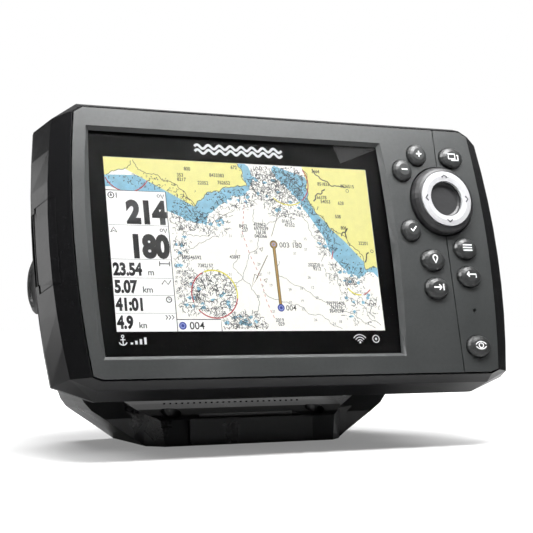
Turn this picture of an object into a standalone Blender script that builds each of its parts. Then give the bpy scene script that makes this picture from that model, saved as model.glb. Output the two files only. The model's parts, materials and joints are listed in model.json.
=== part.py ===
"""Chartplotter display: a 5-inch marine display that tilts in a bracket, clamped by two side knobs.

Lengths here are in millimetres; every mesh is scaled by MM to metres as it is stored.
World frame: origin at the centre of the bracket's underside, +X right, +Z up, the screen faces -Y.
Display frame: origin on the tilt axis, +Y into the display, +Z up its face. Depths are measured
from the plane of the picture, so the fascia's front is at a depth of -3.
"""

import math
from collections import namedtuple

import bmesh
import bpy
from mathutils import Matrix, Vector

MM = 0.001
GAP = 0.3  # between neighbouring solids

# Posture of the display in its bracket
TILT_BACK = math.radians(13.8)
PIVOT_HEIGHT = 63.1
PIVOT_Y = -6.7
PIVOT_DEPTH = 58.5
SCREEN_X = -18.65  # the picture's centre, left of the display's centre line

# Outlines across the display's depth: bowed sides, nearly straight top, one cut per corner
Section = namedtuple("Section", "width side_width side_low side_high height corner_height corner_x")
FASCIA = Section(86.3, 83.1, -48.6, 47.8, 49.75, 49.8, 79.7)
RIM = Section(87.0, 83.8, -49.0, 48.2, 50.45, 50.5, 80.0)
BELT = Section(94.1, 90.1, -48.6, 46.4, 52.8, 52.9, 80.4)
FLANGE = Section(97.1, 94.0, -49.3, 44.8, 55.2, 54.9, 78.8)
SHOULDER = Section(84.0, 82.5, -38.0, 38.0, 48.0, 48.0, 70.0)
HOUSING_ROOT = Section(66.5, 66.0, -33.0, 33.0, 46.0, 46.0, 52.0)
HOUSING_WAIST = Section(61.5, 61.5, -31.0, 31.0, 43.0, 43.0, 49.0)
HOUSING_END = Section(60.5, 60.5, -29.5, 29.5, 41.2, 41.2, 48.0)
HOUSING_BACK = Section(57.0, 57.0, -27.5, 27.5, 37.5, 37.5, 46.0)
SIDE_STEPS = 8
TOP_STEPS = 4

# Depths of the display's layers
FASCIA_FRONT, FASCIA_BACK = -3.0, -0.6
RIM_FRONT, BELT_DEPTH, FLANGE_DEPTH, CASE_BACK = -2.6, 2.0, 12.0, 14.3
WALL_FRONT, WALL_BACK = -0.3, 2.2
REAR_FRONT, REAR_FLANGE_BACK, SHOULDER_DEPTH = 14.6, 17.0, 24.0
WAIST_DEPTH, END_DEPTH, BACK_DEPTH = 40.0, 62.0, 68.0
WALL = 2.6

# Window, lens and keypad
WINDOW_OUTER = (121.0, 86.0, 2.7)  # width at the corners, height, outward bow of each side
WINDOW_INNER = (118.4, 83.2, 1.4)
WINDOW_LEDGE = -1.5
LENS_SIZE = (123.0, 89.0)
LENS_GASKET_INNER = (119.5, 79.0)
LCD_SIZE = (118.0, 76.0)
LCD_BRACKET_SIZE = (122.0, 84.0)
LCD_BRACKET_WINDOW = (84.0, 54.0)
KEY_HOLE_GAP = 0.25
GROOVE_HALF, GROOVE_DEPTH = 0.25, 0.5
KEY_DOME = 2.3
KEY_CROWN = ((0.0, 0.55), (0.55, 0.84), (1.3, 0.97), (2.1, 1.0))  # drop below the top, share of full size
NAV_CENTRE = (67.05, 19.7)
NAV_RADIUS = 14.0
KEYPAD_LOW, KEYPAD_HIGH = (45.0, -45.0), (82.2, 44.0)
LAMP_AT = (75.65, -25.1)
GROOVE_X = 67.05

# Name, centre across, centre up, width, height of each cap
KEYS = (
    ("key_plus", 57.85, 38.6, 8.7, 8.7),
    ("key_minus", 50.35, 31.8, 8.7, 8.7),
    ("key_view", 73.85, 38.2, 10.8, 8.6),
    ("key_check", 50.95, 7.2, 8.7, 8.7),
    ("key_menu", 74.85, 0.1, 10.8, 8.6),
    ("key_exit", 74.95, -11.4, 10.8, 8.6),
    ("key_mark", 59.15, -4.9, 10.8, 8.6),
    ("key_goto", 59.15, -16.3, 10.8, 8.6),
    ("key_power", 74.95, -39.7, 10.8, 8.8),
)

# Media door in the left flank
DOOR_FRONT, DOOR_BACK = 0.2, 10.4
DOOR_TOP, DOOR_BOTTOM, DOOR_SLOPE = 16.7, -14.9, 1.5
DOOR_SKIN = 1.8
HINGE_X, HINGE_DEPTH = -94.9, 11.7
PIN_RADIUS, KNUCKLE_RADIUS, RELIEF_RADIUS = 0.7, 1.7, 2.4
KNUCKLE_HALF, PIN_HALF = 13.0, 14.6
DOOR_END_BACK, DOOR_END_START, DOOR_END_LENGTH = 9.3, 13.05, 6.0  # shallower past the knuckle's ends

# Tilt clamp on each side
BOSS_FACE = 62.0
WASHER_RADIUS = 11.0
ARM_INNER, ARM_OUTER = 64.5, 71.0
KNOB_START, KNOB_END, KNOB_RADIUS = 72.8, 84.6, 11.2
KNOB_SCALLOPS, SCALLOP_DEPTH, KNOB_STEPS = 12, 0.45, 72
STUD_RADIUS, STUD_HOLE = 2.9, 3.3
STUD_INNER, STUD_OUTER = 53.5, 81.7

# Bracket
BASE_HALF_DEPTH = 26.0
BASE_TOP = 16.5
ARM_TOP_RADIUS = 12.0
SCREW_X, SCREW_FRONT_Y, SCREW_REAR_Y = 32.0, -19.0, 16.0
SCREW_HEAD_RADIUS, SCREW_HOLE_RADIUS, SCREW_SEAT_Z = 4.25, 2.5, 7.0
NOTCHES, NOTCH_PITCH, NOTCH_Y = 24, 2.62, -6.4
NOTCH_LENGTH, NOTCH_WIDTH, NOTCH_FLOOR = 3.4, 0.9, 14.9
NOTCH_SLANT = math.radians(-28)
PANEL_HALF_WIDTH = 27.0
LIP_HALF, LIP_INNER, LIP_FLOOR = 25.0, 20.6, 9.6

# Rear connectors: name, centre across, centre up, outer radius, inner radius
SOCKETS = (
    ("power_socket", -34.0, -16.0, 8.5, 5.5),
    ("sonar_socket", -10.0, -16.0, 10.0, 6.8),
    ("network_socket", 14.0, -16.0, 8.5, 5.5),
)
SOCKET_BACK = 74.0
NUT_SIDES = 6
CASE_SCREWS = ((-86.4, 37.0), (86.4, 37.0), (-86.4, -37.0), (86.4, -37.0))
CASE_SCREW_RADIUS, CASE_SCREW_HEAD = 1.45, 2.9
POST_RADIUS, POST_SHIFT = 3.2, 0.3
NUT_FRONT, NUT_BACK, NUT_GROWTH = 68.3, 70.6, 2.2
VENT_AT = (38.0, 20.0)

# Inside the rear housing
HEAT_SINK_LEFT, HEAT_SINK_FINS, FIN_PITCH, FIN_WIDTH = -14.0, 7, 8.6, 2.4

# Name: base colour, roughness, metallic
FINISHES = {
    "fascia_grey": ((0.09, 0.095, 0.095), 0.55, 0.0),
    "case_black": ((0.012, 0.012, 0.013), 0.28, 0.0),
    "rear_black": ((0.02, 0.02, 0.021), 0.6, 0.0),
    "bracket_black": ((0.02, 0.02, 0.021), 0.42, 0.0),
    "key_grey": ((0.06, 0.062, 0.064), 0.45, 0.0),
    "pad_silver": ((0.72, 0.72, 0.74), 0.3, 0.0),
    "lens_clear": ((0.02, 0.02, 0.02), 0.05, 0.0),
    "picture": ((0.8, 0.85, 0.8), 0.4, 0.0),
    "rubber_black": ((0.02, 0.02, 0.02), 0.85, 0.0),
    "board_green": ((0.02, 0.12, 0.05), 0.5, 0.0),
    "aluminium": ((0.6, 0.61, 0.62), 0.35, 1.0),
    "ferrite": ((0.05, 0.05, 0.055), 0.7, 0.0),
    "ceramic": ((0.55, 0.5, 0.42), 0.5, 0.0),
    "brass": ((0.6, 0.45, 0.2), 0.3, 1.0),
    "steel": ((0.55, 0.56, 0.58), 0.3, 1.0),
    "knob_black": ((0.03, 0.03, 0.031), 0.5, 0.0),
    "shell_black": ((0.025, 0.025, 0.026), 0.4, 0.5),
}


# ---------------------------------------------------------------- scene set-up

def clear_scene():
    for obj in list(bpy.data.objects):
        bpy.data.objects.remove(obj, do_unlink=True)


def make_collection(name):
    group = bpy.data.collections.new(name)
    bpy.context.scene.collection.children.link(group)
    return group


def make_material(name, colour, roughness, metallic):
    material = bpy.data.materials.new(name)
    material.use_nodes = True
    shader = material.node_tree.nodes["Principled BSDF"]
    shader.inputs["Base Color"].default_value = (*colour, 1.0)
    shader.inputs["Roughness"].default_value = roughness
    shader.inputs["Metallic"].default_value = metallic
    return material


clear_scene()
PARTS = make_collection("chartplotter_display")
CUTTERS = make_collection("cutters")
MATERIALS = {name: make_material(name, *finish) for name, finish in FINISHES.items()}
DISPLAY = bpy.data.objects.new("tilt_axis", None)
DISPLAY.location = (0, PIVOT_Y * MM, PIVOT_HEIGHT * MM)
DISPLAY.rotation_euler.x = -TILT_BACK
PARTS.objects.link(DISPLAY)


# ---------------------------------------------------------------- shape helpers
# Each returns a bmesh in millimetres, in the frame of the piece's parent.

AXIS_TURN = {  # takes a shape made along Z to the axis named
    "x": Matrix(((0, 0, 1), (1, 0, 0), (0, 1, 0))).to_4x4(),
    "y": Matrix(((1, 0, 0), (0, 0, 1), (0, 1, 0))).to_4x4(),
    "z": Matrix.Identity(4),
}


def evaluated_bmesh(data, modifier=None):
    """The mesh of a curve or of a mesh with a modifier, welded, as a bmesh."""
    obj = bpy.data.objects.new("shape", data)
    PARTS.objects.link(obj)
    if modifier:
        modifier(obj)
    graph = bpy.context.evaluated_depsgraph_get()
    mesh = bpy.data.meshes.new_from_object(obj.evaluated_get(graph))
    bpy.data.objects.remove(obj, do_unlink=True)
    shape = bmesh.new()
    shape.from_mesh(mesh)
    bpy.data.meshes.remove(mesh)
    bmesh.ops.remove_doubles(shape, verts=shape.verts, dist=0.0001)
    return shape


def prism(outlines, start, end, axis):
    """Outlines extruded from start to end along an axis; the outlines after the first are holes.

    Points are (x, z) along "y", (y, z) along "x" and (x, y) along "z".
    """
    curve = bpy.data.curves.new("outline", "CURVE")
    curve.dimensions = "2D"
    curve.fill_mode = "BOTH"
    curve.extrude = (end - start) / 2
    for outline in outlines:
        spline = curve.splines.new("POLY")
        spline.points.add(len(outline) - 1)
        for point, (a, b) in zip(spline.points, outline):
            point.co = (a, b, 0, 1)
        spline.use_cyclic_u = True
    shape = evaluated_bmesh(curve)
    bmesh.ops.translate(shape, vec=(0, 0, (start + end) / 2), verts=shape.verts)
    bmesh.ops.transform(shape, matrix=AXIS_TURN[axis], verts=shape.verts)
    return shape


def turned(profile, axis, centre, steps=32, closed=False):
    """A profile of (radius, height) points revolved about an axis through centre."""
    mesh = bpy.data.meshes.new("profile")
    count = len(profile)
    edges = [(i, (i + 1) % count) for i in range(count if closed else count - 1)]
    mesh.from_pydata([(r, 0, h) for r, h in profile], edges, [])

    def screw(obj):
        modifier = obj.modifiers.new("Screw", "SCREW")
        modifier.steps = modifier.render_steps = steps
        modifier.use_merge_vertices = True
        modifier.merge_threshold = 0.0001

    shape = evaluated_bmesh(mesh, screw)
    bmesh.ops.transform(shape, matrix=AXIS_TURN[axis], verts=shape.verts)
    bmesh.ops.translate(shape, vec=centre, verts=shape.verts)
    return shape


def box(low, high):
    shape = bmesh.new()
    size = Vector(high) - Vector(low)
    middle = (Vector(high) + Vector(low)) / 2
    bmesh.ops.create_cube(shape, size=1.0, matrix=Matrix.Translation(middle) @ Matrix.Diagonal((*size, 1)))
    return shape


def loft(rings):
    """A closed body through rings of matching points, capped at both ends."""
    shape = bmesh.new()
    rows = [[shape.verts.new(point) for point in ring] for ring in rings]
    count = len(rows[0])
    for near, far in zip(rows, rows[1:]):
        for i in range(count):
            j = (i + 1) % count
            shape.faces.new((near[i], near[j], far[j], far[i]))
    shape.faces.new(reversed(rows[0]))
    shape.faces.new(rows[-1])
    return shape


def merged(*shapes):
    """Several separate bodies as one bmesh, for use as one cutter."""
    whole = bmesh.new()
    for shape in shapes:
        mesh = bpy.data.meshes.new("part")
        shape.to_mesh(mesh)
        shape.free()
        whole.from_mesh(mesh)
        bpy.data.meshes.remove(mesh)
    return whole


def store(shape, name, parent, at=(0, 0, 0)):
    """Store a bmesh as an object whose origin is at a point of the parent's frame."""
    bmesh.ops.translate(shape, vec=-Vector(at), verts=shape.verts)
    bmesh.ops.scale(shape, vec=(MM, MM, MM), verts=shape.verts)
    bmesh.ops.recalc_face_normals(shape, faces=shape.faces)
    mesh = bpy.data.meshes.new(name)
    shape.to_mesh(mesh)
    shape.free()
    obj = bpy.data.objects.new(name, mesh)
    obj.location = Vector(at) * MM
    obj.parent = parent
    return obj


def add_part(shape, name, finish, parent=None, at=(0, 0, 0)):
    part = store(shape, name, parent, at)
    PARTS.objects.link(part)
    part.data.materials.append(MATERIALS[finish])
    part.data.shade_smooth()
    part.data.set_sharp_from_angle(angle=math.radians(30))
    return part


def combine(part, shape, operation):
    """Cut, add or keep the overlap with a shape given in the frame of the part's parent."""
    cutter = store(shape, f"{part.name}_{operation.lower()}_{len(part.modifiers)}", part.parent)
    CUTTERS.objects.link(cutter)
    cutter.hide_render = True
    cutter.display_type = "WIRE"
    modifier = part.modifiers.new(operation.title(), "BOOLEAN")
    modifier.operation = operation
    modifier.object = cutter


def cut(part, *shapes):
    for shape in shapes:
        combine(part, shape, "DIFFERENCE")


def join(part, *shapes):
    for shape in shapes:
        combine(part, shape, "UNION")


# ---------------------------------------------------------------- outlines

def at_depth(depth):
    """Local Y of a depth behind the picture."""
    return depth - PIVOT_DEPTH


def grown(section, by):
    """A section moved outward by a distance on every side, corner cuts included."""
    corner = by * 0.6
    return Section(
        section.width + by, section.side_width + by,
        section.side_low - corner, section.side_high + corner,
        section.height + by, section.corner_height + by, section.corner_x + corner,
    )


def section_outline(section):
    """Points (x, z) round a section, anticlockwise from the lower end of the right side."""
    right = []
    for i in range(SIDE_STEPS + 1):
        t = -1 + 2 * i / SIDE_STEPS
        x = section.width - (section.width - section.side_width) * t * t
        z = section.side_low + (section.side_high - section.side_low) * i / SIDE_STEPS
        right.append((x, z))
    top, bottom = [], []
    for i in range(TOP_STEPS + 1):
        t = 1 - 2 * i / TOP_STEPS
        z = section.height + (section.corner_height - section.height) * t * t
        top.append((section.corner_x * t, z))
        bottom.append((-section.corner_x * t, -z))
    left = [(-x, z) for x, z in reversed(right)]
    return right + top + left + bottom


def section_ring(section, depth):
    return [(x, at_depth(depth), z) for x, z in section_outline(section)]


def display_loft(*stations):
    return loft([section_ring(section, depth) for depth, section in stations])


def plate(outlines, front, back):
    """A flat piece of the display between two depths."""
    return prism(outlines, at_depth(front), at_depth(back), "y")


def rectangle(low, high):
    return [(low[0], low[1]), (high[0], low[1]), (high[0], high[1]), (low[0], high[1])]


def window_outline(width, height, bow):
    """Outline round the screen's centre with straight top and bottom and bowed sides."""
    right = []
    for i in range(SIDE_STEPS + 1):
        t = -1 + 2 * i / SIDE_STEPS
        right.append((width / 2 + bow * (1 - t * t), height / 2 * t))
    return [(SCREEN_X + x, z) for x, z in right] + [(SCREEN_X - x, -z) for x, z in right]


def centred(size, centre=(SCREEN_X, 0)):
    half = (size[0] / 2, size[1] / 2)
    low = (centre[0] - half[0], centre[1] - half[1])
    return rectangle(low, (centre[0] + half[0], centre[1] + half[1]))


def oval(centre, width, height, count=20):
    angles = [2 * math.pi * i / count for i in range(count)]
    return [(centre[0] + width / 2 * math.cos(a), centre[1] + height / 2 * math.sin(a)) for a in angles]


def circle(centre, radius, count=24):
    return oval(centre, 2 * radius, 2 * radius, count)


def rod(centre, radius, front, back, steps=24):
    """A solid cylinder along the display's depth."""
    profile = [(0, at_depth(front)), (radius, at_depth(front)), (radius, at_depth(back)), (0, at_depth(back))]
    return turned(profile, "y", (centre[0], 0, centre[1]), steps)


def cross_rod(centre, radius, start, end, steps=24):
    """A solid cylinder along X; centre is (y, z) in the parent's frame."""
    profile = [(0, start), (radius, start), (radius, end), (0, end)]
    return turned(profile, "x", (0, centre[0], centre[1]), steps)


def cross_tube(inner, outer, start, end, steps):
    profile = [(inner, start), (outer, start), (outer, end), (inner, end)]
    return turned(profile, "x", (0, 0, 0), steps, closed=True)


def block(low, high):
    """A box in the display frame from (x, depth, z) corners."""
    return box((low[0], at_depth(low[1]), low[2]), (high[0], at_depth(high[1]), high[2]))


# ---------------------------------------------------------------- display: front

def front_fascia():
    """Textured panel with the bevelled window, key holes and two hairline grooves."""
    holes = [
        oval((x, z), width + 2 * KEY_HOLE_GAP, height + 2 * KEY_HOLE_GAP)
        for _, x, z, width, height in KEYS
    ]
    holes.append(circle(NAV_CENTRE, NAV_RADIUS + 0.6, 36))
    holes.append(circle(LAMP_AT, 0.8, 10))
    outline = section_outline(FASCIA)
    panel = add_part(
        plate([outline, window_outline(*WINDOW_INNER), *holes], FASCIA_FRONT, FASCIA_BACK),
        "front_fascia", "fascia_grey", DISPLAY,
    )
    over = FASCIA_FRONT - 1.0
    growth = (over - WINDOW_LEDGE) / (FASCIA_FRONT - WINDOW_LEDGE)
    wide = [inner + (outer - inner) * growth for outer, inner in zip(WINDOW_OUTER, WINDOW_INNER)]
    bevel = loft([
        [(x, at_depth(depth), z) for x, z in window_outline(*size)]
        for depth, size in ((over, wide), (WINDOW_LEDGE, WINDOW_INNER))
    ])
    pocket = (LENS_SIZE[0] + 2 * GAP, LENS_SIZE[1] + 2 * GAP)
    lens_pocket = plate([centred(pocket)], WINDOW_LEDGE, FASCIA_BACK + 1)
    groove_floor = FASCIA_FRONT + GROOVE_DEPTH
    reach = FASCIA.height + 1
    grooves = merged(*(
        block((GROOVE_X - GROOVE_HALF, over, low), (GROOVE_X + GROOVE_HALF, groove_floor, high))
        for low, high in ((NAV_CENTRE[1] + NAV_RADIUS, reach), (-reach, NAV_CENTRE[1] - NAV_RADIUS))
    ))
    cut(panel, bevel, lens_pocket, grooves)


def case_skin():
    """Outer body of the front case, shared with the door so that the two are flush."""
    return display_loft(
        (RIM_FRONT, RIM), (BELT_DEPTH, BELT), (FLANGE_DEPTH, FLANGE), (CASE_BACK, grown(FLANGE, -0.3)),
    )


def door_outline(margin):
    """Side view (y, z) of the door's place in the case, less a margin all round."""
    front, back = at_depth(DOOR_FRONT + margin), at_depth(DOOR_BACK - margin)
    top, bottom = DOOR_TOP - margin, DOOR_BOTTOM + margin
    return [(front, bottom), (back, bottom - DOOR_SLOPE), (back, top - DOOR_SLOPE), (front, top)]


def hinge_rod(radius, half_length, steps=16):
    profile = [(0, -half_length), (radius, -half_length), (radius, half_length), (0, half_length)]
    return turned(profile, "z", (HINGE_X, at_depth(HINGE_DEPTH), 0), steps)


def front_case():
    """Glossy surround: a ledge for the fascia, two facets round it and an open back."""
    case = add_part(case_skin(), "front_case", "case_black", DISPLAY)
    seat = plate([section_outline(grown(FASCIA, 0.35))], RIM_FRONT - 2, WALL_FRONT)
    flange_inside = grown(FLANGE, -2.8)
    cavity = display_loft(
        (WALL_BACK, grown(BELT, -3.0)), (FLANGE_DEPTH, flange_inside), (CASE_BACK + 1, flange_inside),
    )
    display_opening = (LENS_SIZE[0] + 1.0, LENS_SIZE[1] + 1.0)
    openings = plate([centred(display_opening)], WALL_FRONT - 1, WALL_BACK + 1)
    keypad_opening = plate([rectangle(KEYPAD_LOW, KEYPAD_HIGH)], WALL_FRONT - 1, WALL_BACK + 1)
    door_opening = prism([door_outline(0)], -110, -80, "x")
    relief = hinge_rod(RELIEF_RADIUS, KNUCKLE_HALF + 0.3)
    cut(case, seat, cavity, merged(openings, keypad_opening), door_opening, relief)
    lug_front, lug_back, lug_length = HINGE_DEPTH - 1.0, HINGE_DEPTH + 2.1, 3.4
    join(case, merged(*(
        block((HINGE_X - 1.2, lug_front, low), (HINGE_X + 2.6, lug_back, low + lug_length))
        for low in (KNUCKLE_HALF + 0.4, -KNUCKLE_HALF - 0.4 - lug_length)
    )))
    cut(case, hinge_rod(PIN_RADIUS + GAP, PIN_HALF + GAP))
    posts = [(x - math.copysign(POST_SHIFT, x), z) for x, z in CASE_SCREWS]
    join(case, merged(*(rod(at, POST_RADIUS, WALL_BACK - 0.5, CASE_BACK, 16) for at in posts)))
    cut(case, merged(*(rod(at, 1.8, 6.0, CASE_BACK + 1, 12) for at in CASE_SCREWS)))


def lens_and_screen():
    add_part(plate([centred(LENS_SIZE)], -1.2, -0.2), "display_lens", "lens_clear", DISPLAY)
    seal = [centred(LENS_SIZE), centred(LENS_GASKET_INNER)]
    add_part(plate(seal, 0.1, 1.1), "lens_gasket", "rubber_black", DISPLAY)
    add_part(plate([centred(LCD_SIZE)], 0.1, 1.4), "lcd_panel", "picture", DISPLAY)
    add_part(plate([centred(LCD_SIZE)], 1.7, 4.3), "lcd_backlight", "key_grey", DISPLAY)


def lcd_bracket():
    """Folded sheet that holds the screen and the main board, with a flange along the top and bottom."""
    front, back, thickness = 5.7, 6.7, 1.0
    sheet = add_part(plate([centred(LCD_BRACKET_SIZE)], front, back), "lcd_bracket", "aluminium", DISPLAY)
    width, height = LCD_BRACKET_SIZE
    reach = width / 2 - 12
    flange_z = (height - thickness) / 2
    join(sheet, merged(*(
        block(
            (SCREEN_X - reach, front + 0.5, middle - thickness / 2),
            (SCREEN_X + reach, 11.6, middle + thickness / 2),
        )
        for middle in (-flange_z, flange_z)
    )))
    cut(sheet, plate([centred(LCD_BRACKET_WINDOW)], front - 1, back + 1))


def key_cap(name, x, z, width, height):
    """Domed cap with a collar behind the fascia."""
    top = FASCIA_FRONT - KEY_DOME
    collar_front, collar_back = FASCIA_BACK + GAP, 0.6
    rings = [(top + drop, width * scale, height * scale) for drop, scale in KEY_CROWN]
    rings.append((collar_front, width, height))
    rings.extend((depth, width + 1.0, height + 1.0) for depth in (collar_front, collar_back))
    shape = loft([
        [(px, at_depth(depth), pz) for px, pz in oval((x, z), across, up, 16)]
        for depth, across, up in rings
    ])
    add_part(shape, name, "key_grey", DISPLAY, (x, at_depth(FASCIA_FRONT), z))


def nav_control():
    """Rocking pad: dark skirt, bright ring, and the pivot disc that it rocks on."""
    x, z = NAV_CENTRE
    centre = (x, 0, z)
    at = (x, at_depth(1.0), z)
    skirt = [
        (0, 0.2), (2.5, 0.2), (2.5, -0.8), (13.6, -0.8), (14.0, -1.4), (14.0, -3.6), (13.5, -5.2),
        (12.6, -6.4), (11.6, -6.7), (11.6, -5.6), (7.0, -5.6), (7.0, -5.2), (6.2, -4.8), (0, -4.8),
    ]
    pad = turned([(r, at_depth(d)) for r, d in skirt], "y", centre, 36)
    add_part(pad, "nav_pad", "key_grey", DISPLAY, at)
    ring = [(7.3, -5.9), (11.3, -5.9), (11.3, -7.0), (9.3, -7.35), (7.3, -7.0)]
    band = turned([(r, at_depth(d)) for r, d in ring], "y", centre, 36, closed=True)
    add_part(band, "nav_ring", "pad_silver", DISPLAY, at)
    add_part(rod(NAV_CENTRE, 5.0, 0.6, 1.3, 20), "nav_pivot", "steel", DISPLAY, at)


def keypad_stack():
    """Silicone mat and keypad board behind the keys, and the status lamp."""
    edge = 0.5  # inside the case's opening
    low = (KEYPAD_LOW[0] + edge, KEYPAD_LOW[1] + edge)
    high = (KEYPAD_HIGH[0] - edge, KEYPAD_HIGH[1] - edge)
    mat = plate([rectangle(low, high), circle(NAV_CENTRE, 7.0), circle(LAMP_AT, 1.6, 12)], 1.8, 2.9)
    add_part(mat, "keypad_mat", "rubber_black", DISPLAY)
    add_part(plate([rectangle(low, high)], 3.2, 4.8), "keypad_board", "board_green", DISPLAY)
    lamp = [(0, -2.7), (0.5, -2.7), (0.5, 0.2), (1.2, 0.2), (1.2, 2.9), (0, 2.9)]
    shape = turned([(r, at_depth(d)) for r, d in lamp], "y", (LAMP_AT[0], 0, LAMP_AT[1]), 10)
    add_part(shape, "status_lamp", "lens_clear", DISPLAY)


# ---------------------------------------------------------------- display: media door

def media_door():
    """Door flush with both facets, its knuckle and pin, and the card bay and reader behind."""
    axis = (HINGE_X, at_depth(HINGE_DEPTH), 0)
    door = add_part(case_skin(), "media_door", "case_black", DISPLAY, axis)
    inner = display_loft(
        (RIM_FRONT - 1, grown(RIM, -DOOR_SKIN - 1.4)), (BELT_DEPTH, grown(BELT, -DOOR_SKIN)),
        (FLANGE_DEPTH, grown(FLANGE, -DOOR_SKIN)), (CASE_BACK + 1, grown(FLANGE, -DOOR_SKIN)),
    )
    cut(door, inner)
    combine(door, prism([door_outline(GAP)], -110, -80, "x"), "INTERSECT")
    ends = merged(*(
        block((-99, DOOR_END_BACK, low), (-85, DOOR_BACK + 1, low + DOOR_END_LENGTH))
        for low in (DOOR_END_START, -DOOR_END_START - DOOR_END_LENGTH)
    ))
    cut(door, ends)
    web = block(
        (HINGE_X - 1.1, DOOR_BACK - 1.2, -KNUCKLE_HALF), (HINGE_X + 0.7, HINGE_DEPTH - 0.6, KNUCKLE_HALF),
    )
    join(door, web, hinge_rod(KNUCKLE_RADIUS, KNUCKLE_HALF))
    cut(door, hinge_rod(PIN_RADIUS + GAP, KNUCKLE_HALF + 1))
    add_part(hinge_rod(PIN_RADIUS, PIN_HALF, 12), "door_pin", "steel", DISPLAY)

    bay = add_part(block((-89.8, 2.8, -15.6), (-86.0, 11.0, 14.6)), "card_bay", "rear_black", DISPLAY)
    cut(bay, block((-92, 3.8, -14.6), (-87.0, 10.0, 13.6)), block((-88, 7.6, -12.6), (-85, 9.9, 12.2)))
    reader = add_part(block((-85.7, 7.2, -15.0), (-60.0, 10.6, 15.0)), "card_reader", "aluminium", DISPLAY)
    cut(reader, block((-87, 7.7, -12.5), (-62.0, 9.9, 12.1)))


# ---------------------------------------------------------------- display: rear

def rear_case():
    """Rear moulding: flange, sloped shoulder, and a narrow housing that fits between the arms."""
    flange = grown(FLANGE, -0.5)
    case = add_part(
        display_loft(
            (REAR_FRONT, flange), (REAR_FLANGE_BACK, grown(flange, -0.6)), (REAR_FLANGE_BACK, SHOULDER),
            (SHOULDER_DEPTH, HOUSING_ROOT), (WAIST_DEPTH, HOUSING_WAIST), (END_DEPTH, HOUSING_END),
            (BACK_DEPTH, HOUSING_BACK),
        ),
        "rear_case", "rear_black", DISPLAY,
    )
    cavity = display_loft(
        (REAR_FRONT - 1, grown(SHOULDER, -WALL)), (REAR_FLANGE_BACK, grown(SHOULDER, -WALL)),
        (SHOULDER_DEPTH, grown(HOUSING_ROOT, -WALL)), (WAIST_DEPTH, grown(HOUSING_WAIST, -WALL)),
        (END_DEPTH, grown(HOUSING_END, -WALL)), (BACK_DEPTH - WALL, grown(HOUSING_BACK, -WALL)),
    )
    groove_edges = [section_outline(grown(FLANGE, inset)) for inset in (-3.2, -5.4)]
    cut(case, cavity, plate(groove_edges, REAR_FRONT - 1, 15.9))
    for side in (-1, 1):
        start, end = sorted((side * BOSS_FACE, side * 50.5))
        join(case, cross_rod((0, 0), 11.0, start, end, 28))
        bore_start, bore_end = sorted((side * (BOSS_FACE + 1), side * 51.8))
        cut(case, cross_rod((0, 0), 4.8, bore_start, bore_end, 20))
    sockets = merged(*(rod((x, z), outer - 1.2, 60, 70, 24) for _, x, z, outer, _ in SOCKETS))
    screws = merged(*(rod(at, 1.9, REAR_FRONT - 1, 20, 12) for at in CASE_SCREWS))
    vent = rod(VENT_AT, 3.0, 60, 70, 16)
    cut(case, sockets, screws, vent)


def case_seal_and_screws():
    seal = [section_outline(grown(FLANGE, -3.5)), section_outline(grown(FLANGE, -5.1))]
    add_part(plate(seal, REAR_FRONT, 15.6), "case_gasket", "rubber_black", DISPLAY)
    shank, head, seat = CASE_SCREW_RADIUS, CASE_SCREW_HEAD, REAR_FLANGE_BACK + GAP
    for index, at in enumerate(CASE_SCREWS, 1):
        profile = [
            (0, 8.0), (shank, 8.0), (shank, seat), (head, seat), (head - 0.2, 19.0), (1.6, 19.4), (0, 19.4),
        ]
        shape = turned([(r, at_depth(d)) for r, d in profile], "y", (at[0], 0, at[1]), 12)
        add_part(shape, f"case_screw_{index}", "steel", DISPLAY)


def rear_connectors():
    """Sockets through the back wall, each a cup for its plug with a brass nut outside."""
    for name, x, z, outer, inner in SOCKETS:
        collar = outer - 1.5
        shelf = NUT_BACK + GAP
        profile = [
            (0, 56.0), (collar, 56.0), (collar, shelf), (outer - 1.0, shelf), (outer - 1.0, SOCKET_BACK),
            (inner, SOCKET_BACK), (inner, 62.5), (0, 62.5),
        ]
        shape = turned([(r, at_depth(d)) for r, d in profile], "y", (x, 0, z), 24)
        add_part(shape, name, "shell_black", DISPLAY)
        hollow = (collar + GAP) / math.cos(math.pi / NUT_SIDES)
        rim = outer + NUT_GROWTH
        nut = [(hollow, NUT_FRONT), (rim, NUT_FRONT), (rim, NUT_BACK), (hollow, NUT_BACK)]
        ring = turned([(r, at_depth(d)) for r, d in nut], "y", (x, 0, z), NUT_SIDES, closed=True)
        add_part(ring, name.replace("socket", "socket_nut"), "brass", DISPLAY)
    seat = BACK_DEPTH + GAP
    plug = [(0, 64.0), (2.7, 64.0), (2.7, seat), (4.6, seat), (4.2, 69.6), (0, 69.6)]
    shape = turned([(r, at_depth(d)) for r, d in plug], "y", (VENT_AT[0], 0, VENT_AT[1]), 16)
    add_part(shape, "vent_plug", "rubber_black", DISPLAY)


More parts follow.
